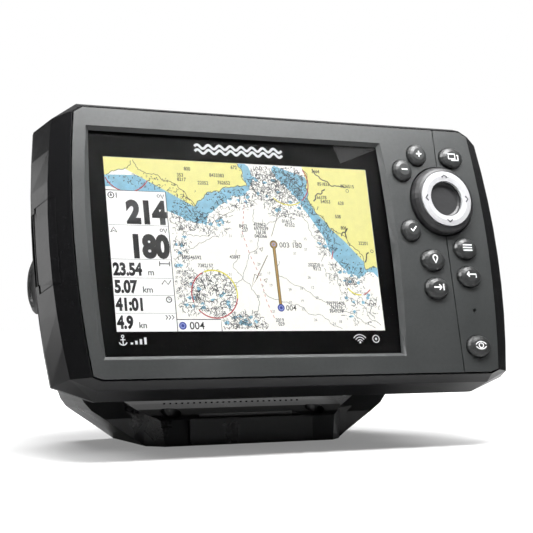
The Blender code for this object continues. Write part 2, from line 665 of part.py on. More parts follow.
def electronics():
    add_part(block((-81.0, 12.0, -37.0), (72.0, 13.6, 37.0)), "main_board", "board_green", DISPLAY)
    can = add_part(block((-40.0, 13.9, -18.0), (4.0, 17.9, 24.0)), "processor_shield", "aluminium", DISPLAY)
    cut(can, block((-39.2, 13.0, -17.2), (3.2, 17.1, 23.2)))
    add_part(block((50.0, 5.1, 12.0), (75.0, 9.1, 37.0)), "gps_antenna", "ceramic", DISPLAY)
    add_part(rod((62.0, -28.0), 6.5, 5.1, 9.6, 20), "buzzer", "rear_black", DISPLAY)
    add_part(block((-50.0, 43.0, -30.0), (46.0, 44.6, 32.0)), "sonar_board", "board_green", DISPLAY)
    add_part(block((-50.0, 44.9, -3.0), (-18.0, 62.0, 28.0)), "sonar_transformer", "ferrite", DISPLAY)
    first = HEAT_SINK_LEFT + 1
    fins = [first + FIN_PITCH * i for i in range(HEAT_SINK_FINS)]
    right = fins[-1] + FIN_WIDTH + 1
    slab = block((HEAT_SINK_LEFT, 44.9, -2.0), (right, 52.0, 31.0))
    sink = add_part(slab, "heat_sink", "aluminium", DISPLAY)
    join(sink, merged(*(block((x, 51.5, -1.5), (x + FIN_WIDTH, 61.0, 30.5)) for x in fins)))


# ---------------------------------------------------------------- tilt clamp

def knob_outline():
    points = []
    for i in range(KNOB_STEPS):
        angle = 2 * math.pi * i / KNOB_STEPS
        reach = KNOB_RADIUS - SCALLOP_DEPTH * (0.5 + 0.5 * math.cos(KNOB_SCALLOPS * angle))
        points.append((reach * math.cos(angle), reach * math.sin(angle)))
    return points


def clamp_side(side, word):
    """Brass insert, friction washer, plain washer, knob and its stud on one side (side is -1 or 1)."""
    def span(near, far):
        return sorted((side * near, side * far))

    insert = cross_tube(STUD_HOLE, 4.5, *span(52.1, BOSS_FACE - 0.2), steps=24)
    add_part(insert, f"pivot_insert_{word}", "brass", DISPLAY)
    friction = cross_tube(STUD_HOLE, WASHER_RADIUS, *span(BOSS_FACE + GAP, ARM_INNER - GAP), steps=32)
    add_part(friction, f"pivot_washer_{word}", "rubber_black", DISPLAY)
    washer = cross_tube(STUD_HOLE, 9.0, *span(ARM_OUTER + GAP, KNOB_START - GAP), steps=28)
    add_part(washer, f"knob_washer_{word}", "steel", DISPLAY)

    start, end = span(KNOB_START, KNOB_END)
    knob = add_part(prism([knob_outline()], start, end, "x"), f"knob_{word}", "knob_black", DISPLAY)
    rounding = [
        (0, 72.0), (9.4, 72.0), (10.6, KNOB_START), (14.0, 76.0), (14.0, 82.0), (8.6, KNOB_END),
        (8.6, 86.0), (0, 86.0),
    ]
    combine(knob, turned([(r, side * h) for r, h in rounding], "x", (0, 0, 0), 36), "INTERSECT")
    dish = [(0, 83.6), (6.6, 83.6), (7.6, 85.5), (0, 85.5)]
    cut(knob, turned([(r, side * h) for r, h in dish], "x", (0, 0, 0), 28))
    cut(knob, cross_rod((0, 0), STUD_HOLE, *span(KNOB_START - 1, STUD_OUTER + GAP), 20))
    stud = cross_rod((0, 0), STUD_RADIUS, *span(STUD_INNER, STUD_OUTER), 20)
    add_part(stud, f"knob_stud_{word}", "steel", DISPLAY)


# ---------------------------------------------------------------- bracket

def mirrored(points):
    """A half outline given for +X, closed with its mirror image."""
    return points + [(-x, z) for x, z in reversed(points)]


def arm_profile(side):
    """Front view of one arm: flares out of the base, then turns upright."""
    top = PIVOT_HEIGHT + ARM_TOP_RADIUS + 1
    outer = [
        (38, 0), (43, 0), (64.4, 14.3), (67.2, 17.6), (69.4, 22), (70.5, 27.5), (ARM_OUTER, 34),
        (ARM_OUTER, top),
    ]
    inner = [
        (ARM_INNER, top), (ARM_INNER, 44), (63.9, 37), (62, 30.5), (58.8, 24.8), (55, 20.4),
        (50.5, 17.2), (43.3, 12.4), (38, 8.9),
    ]
    return [(side * x, z) for x, z in outer + inner]


def arm_side_view():
    """Side view of the arms: a wide root, narrowing to a round top on the tilt axis."""
    radius = ARM_TOP_RADIUS
    steps = 14
    dome = []
    for i in range(steps + 1):
        angle = math.pi * i / steps
        dome.append((PIVOT_Y + radius * math.cos(angle), PIVOT_HEIGHT + radius * math.sin(angle)))
    rear = [(18.0, 0), (18.0, 12), (13.0, 22), (10.0, 34)]
    front = [(-16.8, 30), (-16.8, 18), (-18.6, 11), (-18.6, 0)]
    return rear + dome + front


def base_side_view():
    front = [
        (-BASE_HALF_DEPTH, 0), (-24.4, 10.2), (-21.2, 12.0), (-16.0, 14.1), (-6.5, 15.6), (4.0, BASE_TOP),
    ]
    rear = [(14.0, BASE_TOP), (20.0, 14.8), (23.9, 11.5), (BASE_HALF_DEPTH, 0)]
    return list(reversed(front + rear))


def base_plan():
    past = BASE_HALF_DEPTH + 1
    return mirrored([(36, -past), (43.6, -19.3), (50.5, -18.0), (50.5, 18.0), (43.6, 19.3), (36, past)])


def bracket_frame():
    """One moulding: a low base with a crowned top and two arms up to the tilt axis."""
    shape = prism([mirrored([(43, 0), (50.5, 5.0), (50.5, 20)])], -30, 30, "y")
    frame = add_part(shape, "bracket_frame", "bracket_black")
    combine(frame, prism([base_side_view()], -60, 60, "x"), "INTERSECT")
    combine(frame, prism([base_plan()], -1, 30, "z"), "INTERSECT")
    for side in (-1, 1):
        arm = add_part(prism([arm_profile(side)], -30, 30, "y"), f"arm_{side}", "bracket_black")
        combine(arm, prism([arm_side_view()], -80, 80, "x"), "INTERSECT")
        graph = bpy.context.evaluated_depsgraph_get()
        solid = bmesh.new()
        solid.from_mesh(bpy.data.meshes.new_from_object(arm.evaluated_get(graph)))
        bmesh.ops.scale(solid, vec=(1 / MM, 1 / MM, 1 / MM), verts=solid.verts)
        bpy.data.objects.remove(arm, do_unlink=True)
        join(frame, solid)

    cut(frame, cross_rod((PIVOT_Y, PIVOT_HEIGHT), STUD_HOLE + 0.1, -80, 80, 24))
    for x in (-SCREW_X, SCREW_X):
        for y in (SCREW_FRONT_Y, SCREW_REAR_Y):
            stepped = [
                (0, -1), (SCREW_HOLE_RADIUS, -1), (SCREW_HOLE_RADIUS, SCREW_SEAT_Z),
                (SCREW_HEAD_RADIUS, SCREW_SEAT_Z), (SCREW_HEAD_RADIUS, 20), (0, 20),
            ]
            cut(frame, turned(stepped, "z", (x, y, 0), 24))
    recess = mirrored([(LIP_HALF, -BASE_HALF_DEPTH - 0.5), (LIP_HALF, -24.6), (LIP_INNER, -20.7)])
    lip_recess = prism([recess], LIP_FLOOR, 20, "z")
    pockets = merged(*(box((side * 18 - 8.5, -12, -1), (side * 18 + 8.5, 12, 5)) for side in (-1, 1)))
    cut(frame, lip_recess, pockets, notch_row())


def notch_row():
    """Row of short slanted notches along the crown of the base."""
    first = -NOTCH_PITCH * (NOTCHES - 1) / 2
    slots = []
    half_width, half_length = NOTCH_WIDTH / 2, NOTCH_LENGTH / 2
    slant = Matrix.Rotation(NOTCH_SLANT, 4, "Z")
    for i in range(NOTCHES):
        slot = box((-half_width, -half_length, NOTCH_FLOOR), (half_width, half_length, 18))
        place = Matrix.Translation((first + NOTCH_PITCH * i, NOTCH_Y, 0)) @ slant
        bmesh.ops.transform(slot, matrix=place, verts=slot.verts)
        slots.append(slot)
    return merged(*slots)


def bracket_front_panel():
    """Proud panel across the front of the base, with a thin lip along its top."""
    side_view = [(-26.3, 0.5), (-24.9, 9.4), (-25.8, 9.4), (-25.8, 10.6), (-26.6, 10.6), (-27.4, 0.5)]
    panel = prism([side_view], -PANEL_HALF_WIDTH, PANEL_HALF_WIDTH, "x")
    add_part(panel, "bracket_front_panel", "bracket_black")


# ---------------------------------------------------------------- the whole part

def main():
    bracket_frame()
    bracket_front_panel()
    front_fascia()
    front_case()
    lens_and_screen()
    lcd_bracket()
    for key in KEYS:
        key_cap(*key)
    nav_control()
    keypad_stack()
    media_door()
    rear_case()
    case_seal_and_screws()
    rear_connectors()
    electronics()
    clamp_side(-1, "left")
    clamp_side(1, "right")


main()
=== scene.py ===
"""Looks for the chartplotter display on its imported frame: finishes, chart picture, symbols and studio.

Lengths are in millimetres and are scaled by MM. A point on the display is (x, depth, z): x across
from its middle, depth into it from the plane of the picture, z up its face.
"""

import json
import math
import random

import bmesh
import bpy
from mathutils import Matrix, Vector


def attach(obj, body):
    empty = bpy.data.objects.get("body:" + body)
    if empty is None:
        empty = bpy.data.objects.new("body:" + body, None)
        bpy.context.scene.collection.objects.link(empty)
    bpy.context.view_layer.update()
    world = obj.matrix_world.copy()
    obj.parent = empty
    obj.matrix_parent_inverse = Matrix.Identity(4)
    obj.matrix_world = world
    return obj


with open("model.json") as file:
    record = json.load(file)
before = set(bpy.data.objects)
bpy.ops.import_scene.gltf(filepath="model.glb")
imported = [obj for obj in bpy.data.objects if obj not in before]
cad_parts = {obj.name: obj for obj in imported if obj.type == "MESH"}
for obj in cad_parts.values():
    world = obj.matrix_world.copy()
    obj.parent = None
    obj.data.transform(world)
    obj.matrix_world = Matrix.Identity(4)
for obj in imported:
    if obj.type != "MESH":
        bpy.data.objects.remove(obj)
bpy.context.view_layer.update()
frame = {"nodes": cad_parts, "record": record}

MM = 0.001
JOINTS = {joint["name"]: joint for joint in frame["record"]["behaviour"]["joints"]}

# Places on the display, as the model has them
PIVOT_DEPTH = 58.5
SCREEN_X = -18.65
PICTURE = (108.0, 64.8)
MASK = (122.6, 88.6)
KEY_TOP = -5.3
RING_TOP = -7.35
NAV_CENTRE = (67.05, 19.7)
KEYS = {
    "key_plus": (57.85, 38.6), "key_minus": (50.35, 31.8), "key_view": (73.85, 38.2),
    "key_check": (50.95, 7.2), "key_menu": (74.85, 0.1), "key_exit": (74.95, -11.4),
    "key_mark": (59.15, -4.9), "key_goto": (59.15, -16.3), "key_power": (74.95, -39.7),
}
SOCKETS = {"power": (-34.0, 3, 2.6), "sonar": (-10.0, 7, 3.6), "network": (14.0, 5, 2.6)}
SOCKET_Z, SOCKET_FLOOR, PIN_END = -16.0, 62.5, 66.5

# Layers between the lens's back, at -0.2, and the screen's front, at 0.1
MASK_FRONT, MASK_BACK, PRINT = -0.16, -0.12, -0.185
WATER, SHALLOWS, LAND, LINES, MARKS, PANEL, FIGURES = 0.07, 0.045, 0.02, -0.005, -0.03, -0.055, -0.08

depth_axis = Vector(JOINTS["press_plus"]["axis"])
up_axis = Vector(JOINTS["nav_left_right"]["axis"])
FACE = Matrix((Vector((1, 0, 0)), depth_axis, up_axis)).transposed().to_4x4()
FACE.translation = Vector(JOINTS["tilt"]["pos_m"]) - depth_axis * PIVOT_DEPTH * MM
FACE = FACE @ Matrix.Scale(MM, 4)

# The floor's own light, seen by the camera only, under the object and past it, and the distances, in metres,
# over which it rises. Lower near the object it is a painted shade round it, on top of the lamps' real shadow;
# further out it is plain white
FLOOR_GLOW, FLOOR_FADE = (0.22, 1.0), (0.06, 0.16)
FLOOR_SIZE, FLOOR_ALBEDO = 8.0, 0.5

# The backdrop's light on the object, from the share of a direction that points away from the front
SWEEP_LIGHT, SWEEP_RISE = (0.03, 0.3), (0.25, 0.85)

CAMERA_PLACE = (-0.22707, -0.52192, 0.05118)
CAMERA_TURN = -25.23
CAMERA_LENS, CAMERA_SHIFT = 91.55, 0.0929

rng = random.Random(5)


# ---------------------------------------------------------------- materials

def new_material(name):
    material = bpy.data.materials.new(name)
    material.use_nodes = True
    return material, material.node_tree.nodes, material.node_tree.links


def noise(nodes, links, size, detail=4.0, stretch=None):
    """Noise in the piece's own space, with features about size millimetres across."""
    coordinates = nodes.new("ShaderNodeTexCoord").outputs["Object"]
    if stretch:
        mapping = nodes.new("ShaderNodeMapping")
        mapping.inputs["Scale"].default_value = stretch
        links.new(coordinates, mapping.inputs["Vector"])
        coordinates = mapping.outputs["Vector"]
    texture = nodes.new("ShaderNodeTexNoise")
    texture.inputs["Scale"].default_value = 1.0 / (size * MM)
    texture.inputs["Detail"].default_value = detail
    links.new(coordinates, texture.inputs["Vector"])
    return texture.outputs["Fac"]


def ranged(nodes, links, value, low, high):
    node = nodes.new("ShaderNodeMapRange")
    node.inputs["From Min"].default_value = 0.3
    node.inputs["From Max"].default_value = 0.7
    node.inputs["To Min"].default_value = low
    node.inputs["To Max"].default_value = high
    links.new(value, node.inputs["Value"])
    return node.outputs["Result"]


def mottled(nodes, links, value, colour, spread):
    """Colour that runs from darker to lighter by a share of itself."""
    mix = nodes.new("ShaderNodeMix")
    mix.data_type = "RGBA"
    mix.inputs[6].default_value = (*(c * (1 - spread) for c in colour), 1.0)
    mix.inputs[7].default_value = (*(min(c * (1 + spread), 1.0) for c in colour), 1.0)
    links.new(ranged(nodes, links, value, 0.0, 1.0), mix.inputs[0])
    return mix.outputs[2]


def add_bump(nodes, links, shader, height, strength, distance):
    bump = nodes.new("ShaderNodeBump")
    bump.inputs["Strength"].default_value = strength
    bump.inputs["Distance"].default_value = distance * MM
    links.new(height, bump.inputs["Height"])
    links.new(bump.outputs["Normal"], shader.inputs["Normal"])


def plastic(name, colour, roughness, grain=0.4, grain_size=0.4, spread=0.12, specular=0.5):
    """Moulded plastic: a fine grain, faint blotches of colour and uneven polish from handling."""
    material, nodes, links = new_material(name)
    shader = nodes["Principled BSDF"]
    shader.inputs["Specular IOR Level"].default_value = specular
    tint = mottled(nodes, links, noise(nodes, links, 1.2, 6.0), colour, spread)
    links.new(tint, shader.inputs["Base Color"])
    wear = noise(nodes, links, 14.0, 5.0)
    links.new(ranged(nodes, links, wear, roughness * 0.86, roughness * 1.14), shader.inputs["Roughness"])
    add_bump(nodes, links, shader, noise(nodes, links, grain_size, 3.0), grain, 0.05)
    return material


def metal(name, colour, roughness, stretch=(1, 1, 12), size=0.6):
    """Metal with fine lines along its machining or rolling."""
    material, nodes, links = new_material(name)
    shader = nodes["Principled BSDF"]
    shader.inputs["Metallic"].default_value = 1.0
    lines = noise(nodes, links, size, 5.0, stretch)
    links.new(mottled(nodes, links, lines, colour, 0.12), shader.inputs["Base Color"])
    links.new(ranged(nodes, links, lines, roughness * 0.7, roughness * 1.3), shader.inputs["Roughness"])
    add_bump(nodes, links, shader, lines, 0.3, 0.02)
    return material


def circuit_board(name):
    """Green solder mask over a grid of tracks."""
    material, nodes, links = new_material(name)
    shader = nodes["Principled BSDF"]
    shader.inputs["Roughness"].default_value = 0.35
    tracks = nodes.new("ShaderNodeTexBrick")
    tracks.inputs["Scale"].default_value = 320.0
    tracks.inputs["Color1"].default_value = (0.02, 0.13, 0.05, 1)
    tracks.inputs["Color2"].default_value = (0.015, 0.1, 0.04, 1)
    tracks.inputs["Mortar"].default_value = (0.04, 0.2, 0.08, 1)
    links.new(nodes.new("ShaderNodeTexCoord").outputs["Object"], tracks.inputs["Vector"])
    links.new(tracks.outputs["Color"], shader.inputs["Base Color"])
    add_bump(nodes, links, shader, tracks.outputs["Fac"], 0.4, 0.04)
    return material


def lens_glass(name):
    """Clear flat lens, faintly uneven in polish; its index is low so that the black border stays dark."""
    material, nodes, links = new_material(name)
    shader = nodes["Principled BSDF"]
    shader.inputs["Transmission Weight"].default_value = 1.0
    shader.inputs["IOR"].default_value = 1.25
    shader.inputs["Base Color"].default_value = (1.0, 1.0, 1.0, 1.0)
    polish = noise(nodes, links, 30.0, 2.0)
    links.new(ranged(nodes, links, polish, 0.0, 0.02), shader.inputs["Roughness"])
    return material


def backlit(name, colour, brightness=1.0, spread=0.03):
    """A colour of the picture, lit from behind, very slightly uneven. Used for the printed signs on the lens
    border, the same emission is a painted glow.
    """
    material, nodes, links = new_material(name)
    shader = nodes["Principled BSDF"]
    shader.inputs["Base Color"].default_value = (0.01, 0.01, 0.01, 1.0)
    shader.inputs["Roughness"].default_value = 0.6
    shader.inputs["Emission Strength"].default_value = brightness
    tint = mottled(nodes, links, noise(nodes, links, 2.5), colour, spread)
    links.new(tint, shader.inputs["Emission Color"])
    return material


def linear(red, green, blue):
    """A screen colour, given from 0 to 255, as linear light."""
    shares = [level / 255 for level in (red, green, blue)]
    return tuple(((c + 0.055) / 1.055) ** 2.4 if c > 10 / 255 else c / 12.92 for c in shares)


FINISH = {
    "fascia_grey": plastic("fascia_grey", (0.03, 0.032, 0.032), 0.42, grain=0.5, grain_size=0.28, spread=0.1),
    "case_black": plastic(
        "case_black", (0.007, 0.007, 0.0075), 0.2, grain=0.06, grain_size=0.5, spread=0.2, specular=0.3
    ),
    "rear_black": plastic("rear_black", (0.022, 0.022, 0.023), 0.5, grain=0.7, grain_size=0.45),
    "bracket_black": plastic("bracket_black", (0.014, 0.014, 0.0145), 0.3, grain=0.25, grain_size=0.35),
    "key_grey": plastic("key_grey", (0.026, 0.027, 0.027), 0.36, grain=0.12, grain_size=0.25),
    "pad_dark": plastic("pad_dark", (0.02, 0.02, 0.021), 0.38, grain=0.2, grain_size=0.25),
    "pad_silver": plastic("pad_silver", (0.36, 0.36, 0.37), 0.4, grain=0.1, grain_size=0.2, spread=0.04),
    "lens_clear": lens_glass("lens_clear"),
    "picture": backlit("picture", linear(240, 240, 235)),
    "diffuser": plastic("diffuser", (0.8, 0.8, 0.8), 0.6, grain=0.3, spread=0.03),
    "rubber_black": plastic("rubber_black", (0.018, 0.018, 0.018), 0.8, grain=0.8, grain_size=0.5),
    "board_green": circuit_board("board_green"),
    "aluminium": metal("aluminium", (0.62, 0.63, 0.64), 0.38),
    "iron_core": metal("iron_core", (0.1, 0.1, 0.105), 0.7, stretch=(12, 1, 1)),
    "ceramic": plastic("ceramic", (0.55, 0.5, 0.42), 0.5, grain=0.3, grain_size=0.6, spread=0.06),
    "brass": metal("brass", (0.68, 0.5, 0.2), 0.3, stretch=(6, 6, 1)),
    "shell_black": plastic("shell_black", (0.02, 0.02, 0.021), 0.34, grain=0.15),
    "knob_black": plastic("knob_black", (0.02, 0.02, 0.0205), 0.4, grain=0.5, grain_size=0.5),
    "steel": metal("steel", (0.58, 0.59, 0.61), 0.28),
}
LAMP_DARK = plastic("lamp_dark", (0.01, 0.01, 0.01), 0.2, grain=0.05)
PRINT_WHITE = plastic("print_white", (0.8, 0.81, 0.82), 0.45, grain=0.1, grain_size=0.15, spread=0.05)
PRINT_GREY = plastic("print_grey", (0.05, 0.05, 0.055), 0.45, grain=0.1, grain_size=0.15)

for subpart in frame["record"]["subparts"]:
    node = frame["nodes"][subpart["node"]]
    finish = LAMP_DARK if node.name == "status_lamp" else FINISH[subpart["material_slot"]]
    for material_slot in node.material_slots:
        material_slot.material = finish


# ---------------------------------------------------------------- eased edges

EDGE = {  # how far each moulding's edges are rounded
    "front_fascia": 0.22, "front_case": 0.22, "media_door": 0.12, "rear_case": 0.5, "bracket_frame": 0.45,
    "bracket_front_panel": 0.2, "knob_left": 0.35, "knob_right": 0.35, "heat_sink": 0.2,
}


def ease_edges(node, width):
    weld = node.modifiers.new("Weld", "WELD")
    weld.merge_threshold = 0.000002
    flat = node.modifiers.new("Flat faces", "DECIMATE")
    flat.decimate_type = "DISSOLVE"
    flat.angle_limit = math.radians(0.6)
    bevel = node.modifiers.new("Eased edges", "BEVEL")
    bevel.width = width * MM
    bevel.segments = 2
    bevel.limit_method = "ANGLE"
    bevel.angle_limit = math.radians(28)
    bevel.use_clamp_overlap = True
    bevel.harden_normals = True


for name, width in EDGE.items():
    ease_edges(frame["nodes"][name], width)


# ---------------------------------------------------------------- drawing on the face

class Drawing:
    """Flat shapes at one depth of the face, all of one colour."""

    def __init__(self, depth, origin=(0.0, 0.0)):
        self.shape = bmesh.new()
        self.depth = depth
        self.origin = origin

    def corner(self, point):
        return self.shape.verts.new((self.origin[0] + point[0], self.depth, self.origin[1] + point[1]))

    def area(self, points):
        face = self.shape.faces.new([self.corner(point) for point in points])
        bmesh.ops.triangulate(self.shape, faces=[face])

    def line(self, points, width, closed=False):
        count = len(points)
        sides = []
        for i, point in enumerate(points):
            before = points[i - 1] if closed or i else point
            after = points[(i + 1) % count] if closed or i < count - 1 else point
            along = Vector((after[0] - before[0], after[1] - before[1]))
            if along.length < 1e-6:
                along = Vector((1.0, 0.0))
            along.normalize()
            across = Vector((-along.y, along.x)) * width / 2
            sides.append((
                self.corner((point[0] + across.x, point[1] + across.y)),
                self.corner((point[0] - across.x, point[1] - across.y)),
            ))
        for i in range(count if closed else count - 1):
            near, far = sides[i], sides[(i + 1) % count]
            self.shape.faces.new((near[0], near[1], far[1], far[0]))

    def box(self, low, high):
        self.area([low, (high[0], low[1]), high, (low[0], high[1])])

    def disc(self, centre, radius, count=20):
        self.area(arc(centre, radius, 0, 360, count)[:-1])

    def ring(self, centre, radius, width, start=0, end=360, count=28):
        points = arc(centre, radius, start, end, count)
        if end - start == 360:
            self.line(points[:-1], width, closed=True)
        else:
            self.line(points, width)

    def text(self, body, size, at, align="LEFT", narrow=1.0, bold=0.0):
        """Numerals with their baseline at a point."""
        curve = bpy.data.curves.new("text", "FONT")
        curve.body = body
        curve.size = size
        curve.align_x = align
        curve.offset = bold * size
        curve.resolution_u = 4
        source = bpy.data.objects.new("text", curve)
        bpy.context.scene.collection.objects.link(source)
        mesh = bpy.data.meshes.new_from_object(source.evaluated_get(bpy.context.evaluated_depsgraph_get()))
        bpy.data.objects.remove(source, do_unlink=True)
        x, z = self.origin[0] + at[0], self.origin[1] + at[1]
        mesh.transform(Matrix(((narrow, 0, 0, x), (0, 0, 0, self.depth), (0, 1, 0, z), (0, 0, 0, 1))))
        self.shape.from_mesh(mesh)
        bpy.data.meshes.remove(mesh)


def arc(centre, radius, start, end, count):
    angles = [math.radians(start + (end - start) * i / count) for i in range(count + 1)]
    return [(centre[0] + radius * math.cos(a), centre[1] + radius * math.sin(a)) for a in angles]


def add_piece(shape, name, material, body):
    """Store a bmesh in face coordinates as a piece that rides on a body."""
    mesh = bpy.data.meshes.new(name)
    shape.to_mesh(mesh)
    shape.free()
    mesh.transform(FACE)
    mesh.materials.append(material)
    piece = bpy.data.objects.new(name, mesh)
    bpy.context.scene.collection.objects.link(piece)
    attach(piece, body)
    return piece


def add_drawing(drawing, name, material, body="display", thickness=0.0):
    """Turn a drawing into a piece; with a thickness it stands up as a raised print."""
    shape = drawing.shape
    if thickness:
        raised = bmesh.ops.extrude_face_region(shape, geom=shape.faces[:])
        corners = [item for item in raised["geom"] if isinstance(item, bmesh.types.BMVert)]
        bmesh.ops.translate(shape, vec=(0, thickness, 0), verts=corners)
        bmesh.ops.recalc_face_normals(shape, faces=shape.faces)
    return add_piece(shape, name, material, body)


# ---------------------------------------------------------------- lens border

def lens_border():
    """Black print round the picture on the lens's back."""
    shape = bmesh.new()
    outer, inner = [(w / 2, h / 2) for w, h in (MASK, PICTURE)]
    corners = ((-1, -1), (1, -1), (1, 1), (-1, 1))
    loops = ((outer, MASK_BACK), (outer, MASK_FRONT), (inner, MASK_FRONT), (inner, MASK_BACK))
    rows = [
        [shape.verts.new((SCREEN_X + a * w, depth, b * h)) for a, b in corners]
        for (w, h), depth in loops
    ]
    for near, far in zip(rows, rows[1:] + rows[:1]):
        for i in range(4):
            j = (i + 1) % 4
            shape.faces.new((near[i], near[j], far[j], far[i]))
    bmesh.ops.recalc_face_normals(shape, faces=shape.faces)
    black = plastic("border_black", (0.002, 0.002, 0.002), 0.5, grain=0.02, spread=0.1, specular=0.1)
    add_piece(shape, "lens_border", black, "display")


def border_symbols():
    """Plain generic signs on the border: a row of waves on top, an anchor and a satellite below."""
    signs = Drawing(PRINT, (SCREEN_X, 0.0))
    for row in range(2):
        wave = [(i * 0.4 - 18.0, 36.3 + row * 1.9 + 0.75 * math.sin(i * 0.4 * 1.4)) for i in range(91)]
        signs.line(wave, 1.0)
    left = -PICTURE[0] / 2 + 2.0
    signs.ring((left, -34.1), 0.45, 0.3, count=12)
    signs.line([(left, -34.6), (left, -37.2)], 0.4)
    signs.line([(left - 0.9, -35.3), (left + 0.9, -35.3)], 0.35)
    signs.line(arc((left, -35.7), 1.5, 200, 340, 10), 0.4)
    for i in range(4):
        signs.line([(left + 3.2 + i * 1.7, -37.0), (left + 3.2 + i * 1.7, -36.3 + i * 0.6)], 0.9)
    right = PICTURE[0] / 2 - 2.5
    for radius in (1.2, 2.2, 3.2):
        signs.line(arc((right - 9.0, -37.2), radius, 35, 145, 10), 0.35)
    signs.disc((right - 9.0, -37.0), 0.45, 10)
    signs.ring((right - 2.0, -35.7), 1.4, 0.35, count=20)
    signs.disc((right - 2.0, -35.7), 0.5, 10)
    # painted glow: the signs are print on the lens border, yet this material gives them their own light so
    # they stay white whatever the lamps do
    white = backlit("border_print_painted_glow", linear(228, 230, 232))
    add_drawing(signs, "border_symbols", white)


# ---------------------------------------------------------------- chart
# Chart points are (u, v) in millimetres from the picture's lower left corner.

CHART_ORIGIN = (SCREEN_X - PICTURE[0] / 2, -PICTURE[1] / 2)
PANEL_WIDTH, PANEL_TOP = 22.9, 52.2
PANEL_ROWS = (39.2, 26.5, 19.6, 13.2, 6.7)
TAG_RIGHT, TAG_TOP = 40.1, 4.4

WEST_COAST = [
    (0, 58), (5, 60), (9, 61), (11, 64.7), (13, 60.5), (16, 59), (21.5, 57.5), (26.5, 55.8), (31, 51.5),
    (34, 47), (36, 49.5), (40, 53), (48.5, 55), (56, 56), (54, 59.5), (53, 64.7),
]
WEST_SHALLOWS = [
    (0, 58), (0, 53.5), (7, 54), (12, 56), (15, 54), (22, 52.5), (26.5, 47.5), (32, 41.5), (38, 40),
    (40.5, 45), (44, 48), (52, 51.5), (57, 54.5), (58.5, 59), (56, 64.7), (50, 64.7), (30, 58),
]
EAST_COAST = [
    (80, 64.7), (81.5, 58.5), (81.5, 53.5), (83.5, 47), (88.5, 41.5), (94, 38), (99, 32.5), (102.5, 28),
    (103, 24), (106.5, 25.5), (107.9, 25),
]
EAST_SHALLOWS = [
    (68, 64.7), (68.5, 59.5), (72, 57), (77, 54), (80, 50), (82, 46.5), (85.5, 41.5), (86.5, 36), (88.5, 30),
    (92.5, 25), (98.5, 21.5), (107.9, 21), (107.9, 30), (96, 44), (88, 64.7),
]
CONTOURS = (
    [(24, 41), (27, 38.5), (30, 36), (35, 35.5), (39, 36.5), (40.5, 41), (45, 44), (50, 46.5)],
    [(25, 27), (28, 30), (33, 32), (36, 33.5), (42, 36)],
    [(58, 47), (57, 42), (62, 40.5), (68, 44), (74, 46), (80, 42), (82, 36), (87, 32)],
    [(49, 31), (47, 24), (50, 21), (53, 18), (55, 14), (55.5, 8), (53, 4), (54, 0.3)],
    [(66, 27), (64.5, 22), (70, 18.5), (82, 12), (92, 7.5), (104, 1)],
    [(58, 15), (66, 11), (76, 6.5), (86, 2), (90, 0.3)],
    [(87, 27), (90, 20), (91, 15), (96, 12), (101, 9), (107.5, 1)],
    [(84, 27), (86.5, 30), (85, 34)],
    [(41, 11), (47, 15.5), (52, 24), (58, 32), (61, 43)],
)
ROCKS = (  # centre, half width and height, how many strokes
    ((30, 44), (7, 7), 190), ((41, 41), (7, 6), 130), ((63, 57), (6, 7.5), 330), ((73, 58), (8, 6.5), 420),
    ((74, 48), (12, 4.5), 230), ((27, 30), (4, 10), 110), ((29, 14), (6.5, 9), 260),
    ((39, 14), (8.5, 9), 420),
    ((52, 3), (7, 4), 130), ((87, 37), (5, 8), 170), ((94, 22), (9, 5), 130), ((98, 10), (9, 8), 120),
    ((50, 50), (9, 4), 120), ((46, 3), (6, 4), 120), ((24, 56), (16, 5), 110),
)
LABELS = (  # spot heights and depths: place, digits
    ((28, 58.5), 3), ((28, 56.8), 4), ((31, 61), 3), ((41, 59), 7), ((36, 55.8), 5), ((44, 56.2), 6),
    ((50, 62.5), 3), ((84, 62.5), 4), ((86, 57.5), 6), ((96, 57), 7), ((85, 52), 5), ((86.5, 50.4), 5),
    ((94, 50), 3), ((92, 44.5), 3), ((94, 40), 3), ((101, 34), 5), ((27, 27), 9), ((33, 24), 7),
    ((46, 27.5), 5),
    ((51, 39.5), 4), ((52, 38), 3), ((57, 40.3), 6), ((57, 38.8), 7), ((57.5, 37.3), 5), ((57, 35.8), 6),
    ((69, 42), 5), ((70, 40.5), 5), ((78, 25), 6), ((80, 23.5), 4), ((93, 19.5), 5), ((93, 18), 6),
    ((84, 10), 9), ((85.5, 8.5), 6), ((85, 7), 7), ((102, 9.5), 4), ((62, 3.5), 4), ((63, 2), 3),
)


def fractal(points, roughness, levels, source):
    """A line through the points with ever smaller random bends."""
    for _ in range(levels):
        bent = [points[0]]
        for (ax, ay), (bx, by) in zip(points, points[1:]):
            push = source.uniform(-roughness, roughness)
            bent.append(((ax + bx) / 2 - (by - ay) * push, (ay + by) / 2 + (bx - ax) * push))
            bent.append((bx, by))
        points = bent
    return [(min(max(u, 0.0), PICTURE[0]), min(max(v, 0.0), PICTURE[1])) for u, v in points]


def on_water(u, v):
    """Inside the picture and clear of the data panel and its tag."""
    in_picture = 0.6 < u < PICTURE[0] - 0.6 and 0.6 < v < PICTURE[1] - 0.6
    covered = (u < PANEL_WIDTH + 0.6 and v < PANEL_TOP + 0.6) or (u < TAG_RIGHT + 0.6 and v < TAG_TOP + 0.6)
    return in_picture and not covered


def inside(outline, u, v):
    """Whether a point lies within a closed outline."""
    result = False
    for (au, av), (bu, bv) in zip(outline, outline[1:] + outline[:1]):
        if (av > v) != (bv > v) and u < au + (bu - au) * (v - av) / (bv - av):
            result = not result
    return result


def on_land(u, v):
    return inside([*WEST_COAST, (53, 66), (0, 66)], u, v) or inside([*EAST_COAST, (109, 25), (109, 66)], u, v)


def within(points):
    """The stretches of a line that lie on open chart."""
    runs = [[]]
    for point in points:
        if on_water(*point):
            runs[-1].append(point)
        elif runs[-1]:
            runs.append([])
    return [run for run in runs if len(run) > 1]


